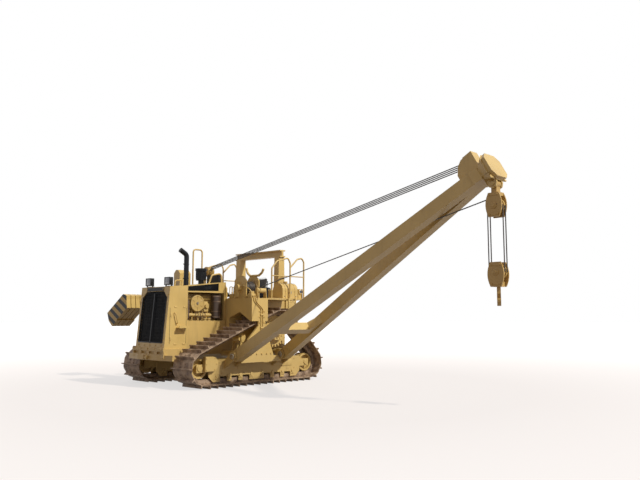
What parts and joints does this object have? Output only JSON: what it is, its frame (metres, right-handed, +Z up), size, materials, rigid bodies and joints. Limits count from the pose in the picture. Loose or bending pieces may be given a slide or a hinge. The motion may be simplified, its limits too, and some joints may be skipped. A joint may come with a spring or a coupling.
{
  "type": "pipelayer",
  "caption": "Crawler pipelayer with raised drive sprockets, a long side boom on the left, a four-part hoist with hook, and a swing-out striped counterweight on the right.",
  "frame": {"origin": "centre of the bounding box's base, on the ground under the tracks", "axes": "+X forward, +Y to the boom side (the machine's left), +Z up"},
  "size_m": [4.57, 11.7068, 4.7748],
  "materials": {
    "yellow": "semi-gloss machine paint",
    "black": "matt black paint",
    "track_steel": "worn and rusty steel",
    "chrome": "polished rod",
    "rope": "greased wire rope",
    "seat_cover": "black vinyl",
    "drum_steel": "worn cast drum",
    "striped": "yellow paint with black warning stripes"
  },
  "bodies": {
    "chassis": {"track_left": "track_steel", "track_right": "track_steel", "running_wheels_left": "yellow", "running_wheels_right": "yellow", "sprocket_left": "yellow", "sprocket_right": "yellow", "roller_frame_left": "yellow", "roller_frame_right": "yellow", "main_frame": "yellow", "track_ties": "yellow", "engine": "yellow", "engine_dressing": "black", "radiator_guard": "yellow", "grille": "black", "front_lower_guard": "yellow", "hood": "yellow", "bulkhead": "yellow", "exhaust_stack": "black", "precleaner": "black", "headlights": "black", "portal_frame": "yellow", "decks": "yellow", "winch_frame": "yellow", "fairlead": "yellow", "console": "black", "seat": "seat_cover", "side_tank": "yellow", "rear_tank": "yellow", "drawbar": "yellow", "rops": "yellow", "handrails": "yellow", "boom_foot_brackets": "yellow", "right_frame": "yellow", "right_housing": "yellow"},
    "boom": {"boom_leg_front": "yellow", "boom_leg_rear": "yellow", "boom_cross_member": "yellow", "boom_head": "yellow", "head_sheaves": "yellow"},
    "boom_line": {"boom_line_block": "yellow", "boom_line_near": "rope"},
    "boom_line_end": {"boom_line_far": "rope"},
    "load_line": {"load_line_near": "rope"},
    "load_line_end": {"load_line_far": "rope"},
    "upper_block": {"upper_block": "yellow", "hoist_falls": "rope"},
    "lower_block": {"lower_block": "yellow"},
    "hook": {"hook": "yellow"},
    "boom_winch": {"boom_winch_drum": "drum_steel"},
    "load_winch": {"load_winch_drum": "drum_steel"},
    "weight_arms": {"counterweight_arms": "yellow"},
    "weight_stack": {"counterweight": "striped"},
    "cylinder_barrel": {"cylinder_barrel": "yellow"},
    "cylinder_rod": {"cylinder_rod": "chrome"}
  },
  "joints": [
    {"name": "boom_lift", "type": "hinge", "parent": "chassis", "child": "boom", "pos_m": [-0.035, -0.85525, 0.731], "axis": [1, 0, 0], "range_deg": [-10, 50]},
    {"name": "boom_line_turn", "type": "hinge", "parent": "chassis", "child": "boom_line", "pos_m": [-0.035, -3.15825, 2.89], "axis": [1, 0, 0], "range_deg": [-9.22, 44.1], "deforming": ["boom_line_near"]},
    {"name": "boom_line_pay", "type": "slide", "parent": "boom_line", "child": "boom_line_end", "axis": [0, 0.9816, 0.1908], "range_m": [-2.526, 0.513], "deforming": ["boom_line_far"]},
    {"name": "load_line_turn", "type": "hinge", "parent": "chassis", "child": "load_line", "pos_m": [0.01, -0.93825, 2.319], "axis": [1, 0, 0], "range_deg": [-12.18, 58.9], "deforming": ["load_line_near"]},
    {"name": "load_line_pay", "type": "slide", "parent": "load_line", "child": "load_line_end", "axis": [0, 0.9767, 0.2146], "range_m": [-1.41, 0.29], "deforming": ["load_line_far"]},
    {"name": "upper_block_swing", "type": "hinge", "parent": "boom", "child": "upper_block", "pos_m": [-0.035, 5.68611, 4.08724], "axis": [1, 0, 0], "range_deg": [-50.5, 10.5], "deforming": ["hoist_falls"]},
    {"name": "hoist", "type": "slide", "parent": "upper_block", "child": "lower_block", "axis": [0, 0, 1], "range_m": [-1.7, 0.65]},
    {"name": "hook_swivel", "type": "hinge", "parent": "lower_block", "child": "hook", "pos_m": [-0.035, 5.68611, 2.185], "axis": [0, 0, 1], "continuous": true},
    {"name": "boom_winch_turn", "type": "hinge", "parent": "chassis", "child": "boom_winch", "pos_m": [0.039, -2.72825, 2.39], "axis": [1, 0, 0], "continuous": true},
    {"name": "load_winch_turn", "type": "hinge", "parent": "chassis", "child": "load_winch", "pos_m": [0.039, -1.39825, 2.39], "axis": [1, 0, 0], "continuous": true},
    {"name": "weight_retract", "type": "hinge", "parent": "chassis", "child": "weight_arms", "pos_m": [0.805, -3.55825, 1.72], "axis": [-1, 0, 0], "range_deg": [0, 50]},
    {"name": "stack_hang", "type": "hinge", "parent": "weight_arms", "child": "weight_stack", "pos_m": [0.805, -4.87825, 2.2], "axis": [1, 0, 0], "range_deg": [-0.5, 109.5]},
    {"name": "cylinder_swing", "type": "hinge", "parent": "chassis", "child": "cylinder_barrel", "pos_m": [0.805, -3.35825, 2.2], "axis": [-1, 0, 0], "range_deg": [-0.5, 46.75]},
    {"name": "cylinder_stroke", "type": "slide", "parent": "cylinder_barrel", "child": "cylinder_rod", "axis": [0, -0.995, -0.1003], "range_m": [-0.445, 0.01]}
  ],
  "couplings": [
    {"joint": "boom_line_turn", "follows": "boom_lift", "ratio": 0.872},
    {"joint": "boom_line_pay", "follows": "boom_lift", "m_per_rad": -2.883},
    {"joint": "load_line_turn", "follows": "boom_lift", "ratio": 1.168},
    {"joint": "load_line_pay", "follows": "boom_lift", "m_per_rad": -1.604},
    {"joint": "upper_block_swing", "follows": "boom_lift", "ratio": -1},
    {"joint": "stack_hang", "follows": "weight_retract", "ratio": 2.18},
    {"joint": "cylinder_swing", "follows": "weight_retract", "ratio": 0.925},
    {"joint": "cylinder_stroke", "follows": "weight_retract", "m_per_rad": -0.498}
  ]
}
